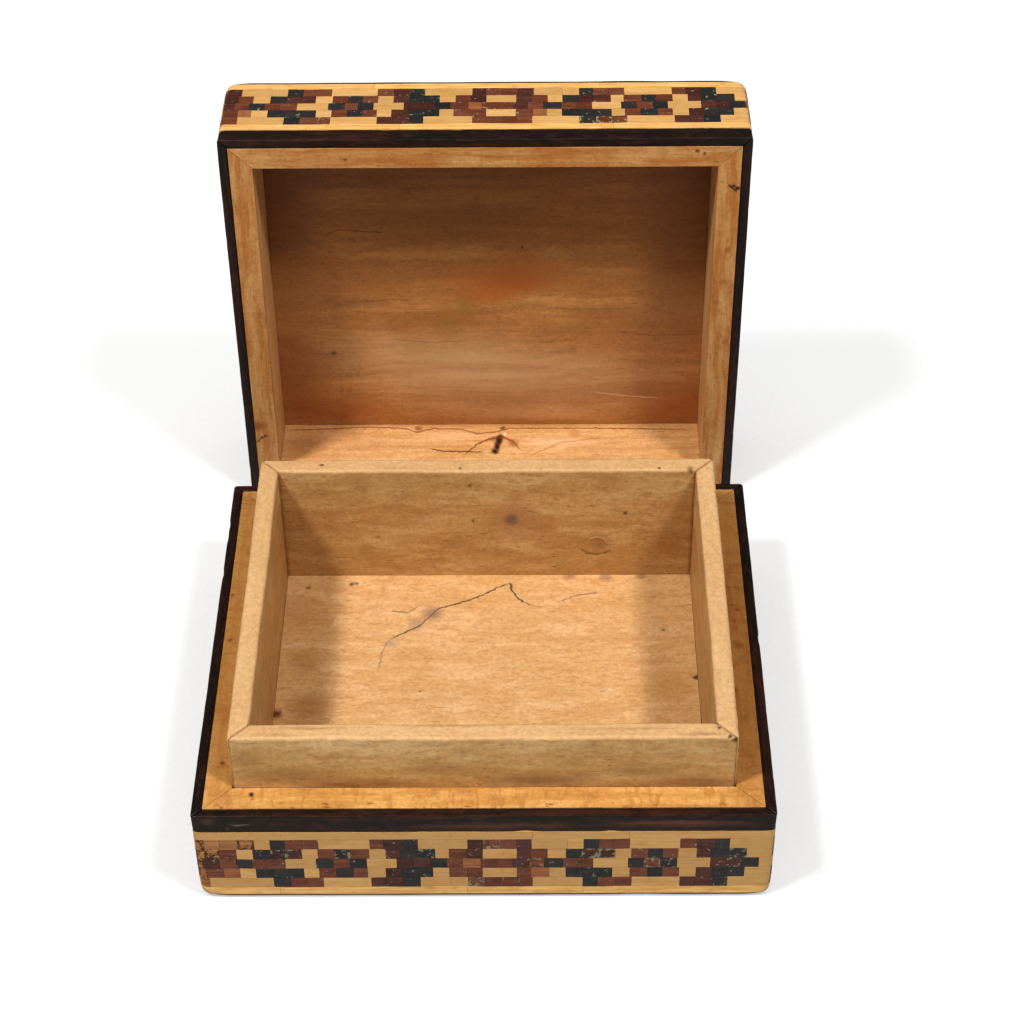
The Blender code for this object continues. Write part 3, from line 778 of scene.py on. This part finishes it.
# ---------------------------------------------------------------------------------------------
# Brads: headless iron pins through the liner's corners, two fixed to the base, and the back two
# carrying the lid's tipping axis. Iron, drawn and rusted: dull grey-brown.
iron, tree, shader = new_material("iron_rusted")
rust = node(tree, "TexNoise", {"Vector": node(tree, "TexCoord").outputs["Object"],
                               "Scale": 2500, "Detail": 4})
scale_colour = node(tree, "ValToRGB", {"Fac": rust.outputs[0]},
                    stops=[(0, "#3a332d"), (0.45, "#57504a"), (0.6, "#6b4a34")])
tree.links.new(scale_colour.outputs[0], shader.inputs["Base Color"])
dull = node(tree, "MapRange", {"Value": rust.outputs[0], "To Min": 0.4, "To Max": 0.75})
tree.links.new(dull.outputs[0], shader.inputs["Roughness"])
shader.inputs["Metallic"].default_value = 1.0
for end in ("front", "back"):
    for side in ("left", "right"):
        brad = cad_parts["liner_brad_" + end + "_" + side]
        brad.data.materials.clear()
        brad.data.materials.append(iron)

# ---------------------------------------------------------------------------------------------
# Walls of the lid: four pine boards, mitred, whose inner faces show inside the lid. The back one is
# knotty and darkened in patches.
LID_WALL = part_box("lid_wall_left")[1].x + WIDTH / 2
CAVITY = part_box("lid_top_board")[0].y - LID_RIM_Y
CROWN_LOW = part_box("crown_field")[0].y - LID_RIM_Y
BACK_Z = LID_WALL / MM
# The small pale dot above the knot is a painted highlight; the other marks are stains and the knot.
back_marks = marks_on(2, BACK_Z,
    (1.3, 76.3, 7.5, 3.2, "#d69a70", 0.6), (1.5, 77.0, 2.2, 1.4, "#7a3a18", 0.6),
    (-9.0, 78.0, 9.0, 1.8, "#dfb48c", 0.6), (14.0, 76.0, 10.0, 2.6, "#e0b48e", 0.6),
    (4.8, 75.6, 1.5, "#8a4a24", 0.7), (-40.0, 75.5, 6.5, "#94602f", 0.6),
    (-30.0, 78.4, 4.0, "#b07a44", 0.4), (18.0, 78.6, 1.6, "#b06a3a", 0.5),
    (-15.7, 80.6, 1.0, "#7a4420", 0.85), (2.5, 80.6, 0.9, "#4a2410", 0.9),
    (0.0, 83.2, 60.0, 3.2, "#9c6634", 0.95), (2.9, 78.6, 0.7, "#f0d2aa", 0.9),
    (1.9, 77.4, 1.1, 1.6, "#32150a", 1.0), (1.7, 76.0, 1.0, 1.8, "#32150a", 1.0),
    (1.3, 74.4, 0.9, 1.8, "#32150a", 1.0), (0.9, 72.8, 1.2, 1.3, "#32150a", 1.0))
lid_pine = timber("pine_oiled", ("#a37342", "#c2955f", "#cca16c", "#d5ac7a"), ("#c79266", 0.5),
                  ("#855a33", 0.5), ("#bb864b", 0.4, 5.8, 1.6), stains=0.5, grain=(0.03, 0.5),
                  marks=back_marks,
                  checks=(((0, 1), ((-5.2, 72.0), (-2.3, 75.8), (0.1, 77.4), (3.1, 77.9),
                                    (5.2, 76.7), (7.2, 73.0)), 0.45, "#74401e", 0.85),
                          ((0, 1), ((-12.7, 74.2), (-9.5, 73.4), (-5.9, 73.2), (-1.2, 73.1)),
                           0.3, "#5f2f12", 0.9),
                          ((0, 1), ((-45.0, 80.6), (-31.5, 81.2), (-26.6, 81.6), (-18.1, 81.1),
                                    (-15.7, 79.7), (-12.1, 81.0), (-6.0, 80.7), (-2.4, 79.2),
                                    (2.5, 80.0), (4.3, 81.0), (21.8, 80.9), (45.0, 80.3)),
                           0.3, "#7a4422", 0.8),
                          ((0, 1), ((9.0, 72.0), (15.7, 76.2), (24.0, 77.6)), 0.25, "#9c6038", 0.6)))
for order, side in enumerate(TURNS):
    wall = board_bar(side, 2.0 * MM, LID_WALL, 0.94 * MM, CROWN_LOW - HAIRLINE, 0.12 * MM,
                     Vector((order * 0.35, 2.2, 0.4)), 3 * MM)
    wear(wall, TURNS[side], True, 0.02 * MM)
    make_piece("lid_side_board_" + side, wall, "lid", [lid_pine], ["lid_wall_" + side])

# ---------------------------------------------------------------------------------------------
# Panel of the lid: a walnut board let in between the walls, its grain running the long way.
# Walnut, oiled: reddish brown, streaked, with painted shadow across the panel's upper part, where the
# wall above it shades it.
PANEL_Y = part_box("lid_top_board")[0].y / MM
# The dark patches along the panel's left and right ends are painted shade of the side walls, and the
# two broad pale patches low in the middle are a painted pool of light; the others are stains and
# holes.
panel_marks = marks_on(1, PANEL_Y,
    (4.0, 46.0, 20.0, 5.5, "#b2662c", 0.95), (6.0, 44.6, 9.0, 4.0, "#a65a20", 0.8),
    (0.5, 41.0, 9.0, 3.0, "#b2662c", 0.7), (-22.0, 44.0, 10.0, 3.4, "#94602f", 0.5),
    (-42.0, 22.0, 10.0, 19.0, "#8a4a22", 0.65), (-33.0, 10.5, 16.0, 5.0, "#9a5228", 0.6),
    (42.0, 13.0, 14.0, 9.0, "#a0521f", 0.75), (-43.0, 60.0, 13.0, 26.0, "#6a4024", 0.75),
    (41.0, 54.0, 14.0, 30.0, "#704526", 0.75), (-8.0, 60.0, 26.0, 5.0, "#7c5232", 0.45),
    (-8.9, 34.0, 3.2, 4.4, "#9a7430", 0.7), (-5.0, 37.6, 2.6, 3.4, "#9a7430", 0.6),
    (-33.0, 26.0, 0.9, 0.8, "#55341c", 0.9), (6.9, 52.9, 0.5, "#5a3418", 0.7),
    (8.0, 17.0, 38.0, 12.0, "#cfa880", 0.62), (-12.0, 25.0, 28.0, 9.0, "#cba47a", 0.55),
    (24.0, 36.0, 12.0, 3.5, "#84562f", 0.5), (-28.0, 39.5, 10.0, 2.0, "#7f5030", 0.5))
walnut = timber("walnut_oiled", ("#905c2e", "#ad7743", "#b9824b", "#c48f53"), ("#a56838", 0.45),
                ("#6b4725", 0.5), ("#a06d3c", 0.4, 8.9, 2.5), rough=(0.45, 0.6), stains=0.45,
                grain=(0.02, 0.24), shade=(82 * MM, 50 * MM, "#744a34", 1.0),
                marks=panel_marks,
                checks=(((0, 2), ((-33.0, 56.2), (-29.9, 58.0), (-24.3, 57.4), (-20.0, 57.2)), 0.3,
                         "#4f2e18", 0.5),
                        ((0, 2), ((-30.0, 39.5), (-22.0, 40.2), (-15.0, 40.4)), 0.3, "#6b4022", 0.35),
                        ((0, 2), ((12.0, 38.2), (20.0, 37.6), (31.0, 37.9)), 0.25, "#6b4022", 0.3),
                        ((0, 2), ((28.0, 31.6), (34.0, 30.8), (44.0, 30.9)), 0.25, "#5f3a1e", 0.35),
                        ((0, 2), ((22.0, 15.8), (29.0, 14.6), (36.6, 14.0)), 0.24, "#d4b088", 0.6),
                        ((0, 2), ((-20.0, 30.0), (-12.0, 29.2), (-4.0, 29.5)), 0.2, "#70482a", 0.35)))
panel = slab(LID_WALL + 0.04 * MM, CAVITY, CROWN_LOW - HAIRLINE, 0.05 * MM, Vector((0.6, 2.9, 0)),
             (48, 40))
for vert in panel.verts:
    if vert.co.z < CAVITY + 0.2 * MM:
        vert.co.z += (0.1 + 0.1 * noise.noise(vert.co * 70)) * MM
bmesh.ops.transform(panel, matrix=LID_STANDS, verts=panel.verts)
make_piece("lid_panel", panel, "lid", [walnut], ["lid_top_board"])

# ---------------------------------------------------------------------------------------------
# Mosaic bands of the lid: varnished end slices cut from the same block as the base's, and glued to
# the four walls, so the motifs line up when the box is shut.
LID_BAND_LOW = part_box("lid_stringing_front")[1].y - LID_RIM_Y
lid_bands = {
    "front": (34.06, -1.06, {(2, 1): 0.5, (3, 1): 0.4, (21, 1): 0.4, (22, 5): 0.7, (23, 5): 0.8,
                             (24, 5): 0.6, (16, 3): 0.5, (16, 4): 0.5, (28, 2): 0.4, (30, 2): 0.4,
                             (5, 5): 0.5, (3, 4): 0.4, (7, 2): 0.4},
              {(32, 1): "L", (32, 2): "L", (32, 4): "L", (32, 5): "L"}),
    "back": (35.0, 0.4, {}, {}),
    "left": (29.6, -5.1, {}, {}),
    "right": (29.6, 4.2, {}, {}),
}
for order, (side, (columns, start, losses, swaps)) in enumerate(lid_bands.items()):
    length = 2 * half_sizes(side)[0]
    band = stick_band(length, columns, start, CROWN_LOW - LID_BAND_LOW - 2 * HAIRLINE, SKIN,
                      losses, swaps, 20 + order)
    stand_band(band, side, LID_BAND_LOW + HAIRLINE)
    cut_lines(band, 2, [LID_TALL - 1.6 * MM, LID_TALL - 2.2 * MM])
    wear(band, TURNS[side], True, 0.012 * MM)
    make_piece("lid_band_" + side, band, "lid", tessera_woods.values(),
               ["lid_mosaic_" + side], weighted=False)

# ---------------------------------------------------------------------------------------------
# Stringing and rim facing of the lid: ebony strips and thin boxwood, mitred and glued as on the base,
# which they meet when the box is shut. The boxwood is rubbed duller and browner here.
for order, side in enumerate(TURNS):
    strip = board_bar(side, 0, STRINGING_WIDE, 0, LID_BAND_LOW, STRINGING_ARRIS,
                      Vector((order * 0.4, 3.3, 0)), 1.0 * MM, segments=3)
    wear(strip, TURNS[side], True, 0.06 * MM, 0.8 * MM)
    make_piece("lid_stringing_piece_" + side, strip, "lid", [ebony],
               ["lid_stringing_" + side])
rim_marks = marks_on(1, LID_RIM_Y / MM,
    (-47.7, 15.5, 0.45, "#4f2c14", 0.9), (-47.0, 15.9, 0.4, "#4f2c14", 0.9),
    (-48.2, 18.5, 1.8, "#8a4a20", 0.8), (48.6, 77.0, 0.8, "#2c1710", 1.0),
    (47.8, 77.6, 0.6, "#2c1710", 1.0), (-26.6, 84.0, 0.5, "#5f3818", 0.8),
    (40.5, 85.6, 0.7, "#4f2c14", 0.9), (41.9, 85.0, 0.5, "#4f2c14", 0.9),
    (47.4, 62.6, 0.9, "#8a5426", 0.7), (46.9, 55.0, 0.9, "#8a5426", 0.6),
    (48.0, 40.0, 0.8, "#8a5426", 0.6))
lid_boxwood = timber("boxwood_rubbed", ("#88592d", "#ab7238", "#b78952", "#c39962"),
                     ("#af733e", 0.5), ("#694123", 0.45), ("#9c6630", 0.35, 2.2, 3.0),
                     rough=(0.42, 0.58), stains=0.55, grain=(0.05, 0.6), marks=rim_marks,
                     checks=(((0, 2), ((-49.0, 14.4), (-47.6, 15.4), (-46.0, 16.4)), 0.25,
                              "#5a3418", 0.9),
                             ((0, 2), ((47.2, 78.2), (48.2, 77.4), (49.0, 76.6)), 0.4,
                              "#2c1710", 0.9)))
for order, side in enumerate(TURNS):
    facing = board_bar(side, FACING_NEAR, LID_WALL, 0, FACING_THICK, 0.06 * MM,
                       Vector((order * 0.2, 3.6, 0.1)), 2.5 * MM, gap=0.05 * MM)
    wear(facing, TURNS[side], True, 0.02 * MM)
    make_piece("lid_rim_facing_" + side, facing, "lid", [lid_boxwood],
               ["lid_rim_" + side])

# ---------------------------------------------------------------------------------------------
# Crown of the lid: ebony lines round the edge, then a mosaic border, then a walnut field, all thin
# sheets glued flat on the top board and mitred at the corners.
LINE_WIDE = 1.2 * MM
BORDER_NEAR = LINE_WIDE + HAIRLINE
BORDER_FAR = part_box("crown_border_left")[1].x + WIDTH / 2 + 0.25 * MM
for order, side in enumerate(TURNS):
    line = board_bar(side, 0, LINE_WIDE, CROWN_LOW, LID_TALL, 0.15 * MM,
                     Vector((order * 0.4, 4.3, 0)), 1.5 * MM)
    cut_lines(line, 1, [-half_sizes(side)[1] + inset * MM for inset in (0.25, 0.5, 0.8)])
    cut_lines(line, 2, [LID_TALL - inset * MM for inset in (0.25, 0.5, 0.8)])
    wear(line, TURNS[side], True, 0.02 * MM)
    make_piece("crown_line_piece_" + side, line, "lid", [ebony], ["crown_line_" + side])
crown_borders = {"front": (34.0, -1.5), "back": (34.0, 2.5),
                 "left": (29.4, 0.2), "right": (29.4, 5.4)}
for order, (side, (columns, start)) in enumerate(crown_borders.items()):
    half_length, reach = half_sizes(side)
    border = stick_band(2 * half_length, columns, start, BORDER_FAR - BORDER_NEAR, SKIN, {}, {},
                        30 + order)
    laid = Matrix.Translation((0, -reach + BORDER_NEAR, LID_TALL))
    bmesh.ops.transform(border, matrix=laid, verts=border.verts)
    cut_mitres(border, side, 0.01 * MM)
    cut_lines(border, 1, [-reach + inset * MM for inset in (1.5, 1.9)])
    wear(border, TURNS[side], True, 0.012 * MM)
    make_piece("crown_mosaic_" + side, border, "lid", tessera_woods.values(),
               ["crown_border_" + side], weighted=False)
field = slab(BORDER_FAR + HAIRLINE, CROWN_LOW, LID_TALL, 0.06 * MM, Vector((0.9, 5, 0)), (40, 32))
for vert in field.verts:
    if vert.co.z > LID_TALL - 0.2 * MM:
        vert.co.z -= (0.05 + 0.05 * noise.noise(vert.co * 70)) * MM
bmesh.ops.transform(field, matrix=LID_STANDS, verts=field.verts)
make_piece("crown_field_veneer", field, "lid", [walnut], ["crown_field"])

# ---------------------------------------------------------------------------------------------
# The studio: a table of white opal acrylic lit from below, white walls all round, and two soft boxes
# above the front corners.
acrylic, tree, shader = new_material("opal_acrylic")
cloud = node(tree, "TexNoise", {"Vector": node(tree, "TexCoord").outputs["Object"],
                                "Scale": 900, "Detail": 3})
acrylic_tone = node(tree, "ValToRGB", {"Fac": cloud.outputs[0]},
                    stops=[(0, "#979797"), (0.5, "#9b9b9b"), (0.8, "#9f9f9f")])
tree.links.new(acrylic_tone.outputs[0], shader.inputs["Base Color"])
shader.inputs["Roughness"].default_value = 0.9
shader.inputs["Emission Color"].default_value = linear("#ffffff")
# Its glow is painted darker close to the box, as a painted contact shadow.
near_box = node(tree, "AmbientOcclusion", {"Distance": 30 * MM}, samples=8)
glow_and_painted_shadow = node(tree, "MapRange", {"Value": near_box.outputs["AO"], "From Min": 0.4,
                                     "To Min": 0.5, "To Max": 0.655})
tree.links.new(glow_and_painted_shadow.outputs[0], shader.inputs["Emission Strength"])
sheet = bmesh.new()
bmesh.ops.create_grid(sheet, x_segments=4, y_segments=4, size=15)
bmesh.ops.translate(sheet, verts=sheet.verts, vec=(0, 0, -0.02 * MM))
sheet_mesh = bpy.data.meshes.new("studio_floor")
sheet.to_mesh(sheet_mesh)
sheet.free()
sheet_mesh.materials.append(acrylic)
studio_floor = bpy.data.objects.new("studio_floor", sheet_mesh)
bpy.context.scene.collection.objects.link(studio_floor)
# The world's glow from below already stands for the light that the table throws back.
studio_floor.visible_diffuse = False
studio_floor.visible_glossy = False

world = bpy.data.worlds.new("studio_walls")
bpy.context.scene.world = world
world.use_nodes = True
# The room gives little light from above, more from the white table below, and most from the front.
tree = world.node_tree
way = node(tree, "SeparateXYZ", {0: node(tree, "TexCoord").outputs["Generated"]}).outputs
glow = node(tree, "MapRange", {"Value": way[2], "From Min": -0.15, "From Max": 0.2,
                               "To Min": 0.72, "To Max": 0.18}).outputs[0]
front = node(tree, "MapRange", {"Value": way[1], "From Min": 0, "From Max": -1,
                                "To Max": 0.28}).outputs[0]
glow = node(tree, "Math", {0: glow, 1: front}).outputs[0]
tree.links.new(glow, tree.nodes["Background"].inputs["Strength"])
tree.nodes["Background"].inputs["Color"].default_value = linear("#fffdfa")

# Both soft boxes aim at the middle of the open box.
middle = Vector((0, 0.02, 0.03))
for name, place, energy in (("soft_box_left", (-0.46, -0.31, 1.02), 10.8),
                            ("soft_box_right", (0.41, -0.31, 0.95), 7.2)):
    lamp_data = bpy.data.lights.new(name, "AREA")
    lamp_data.shape = "SQUARE"
    lamp_data.size = 0.15
    lamp_data.energy = energy
    lamp = bpy.data.objects.new(name, lamp_data)
    lamp.location = place
    lamp.rotation_mode = "QUATERNION"
    lamp.rotation_quaternion = (lamp.location - middle).to_track_quat("Z", "Y")
    bpy.context.scene.collection.objects.link(lamp)

# The camera stands in front and looks down at the open box, turned and rolled by a hair.
rise, turn, roll = math.radians(41.28), math.radians(0.52), math.radians(-0.58)
camera_distance = 0.4342
back = Vector((math.sin(turn) * math.cos(rise), -math.cos(turn) * math.cos(rise), math.sin(rise)))
right = Vector((0, 0, 1)).cross(back).normalized()
up = back.cross(right)
rolled_right = right * math.cos(roll) + up * math.sin(roll)
rolled_up = up * math.cos(roll) - right * math.sin(roll)
camera_data = bpy.data.cameras.new("camera")
camera_data.sensor_width = 36
camera_data.lens = 85.52
camera_data.clip_start = 0.01
camera_data.clip_end = 20
camera = bpy.data.objects.new("camera", camera_data)
aim = Vector((5.08, 0, 53.04)) * MM
camera.matrix_world = Matrix.Translation(aim + back * camera_distance) @ Matrix(
    (rolled_right, rolled_up, back)).transposed().to_4x4()
bpy.context.scene.collection.objects.link(camera)
bpy.context.scene.camera = camera
bpy.context.scene.view_settings.view_transform = "Standard"
bpy.context.scene.view_settings.gamma = 0.86
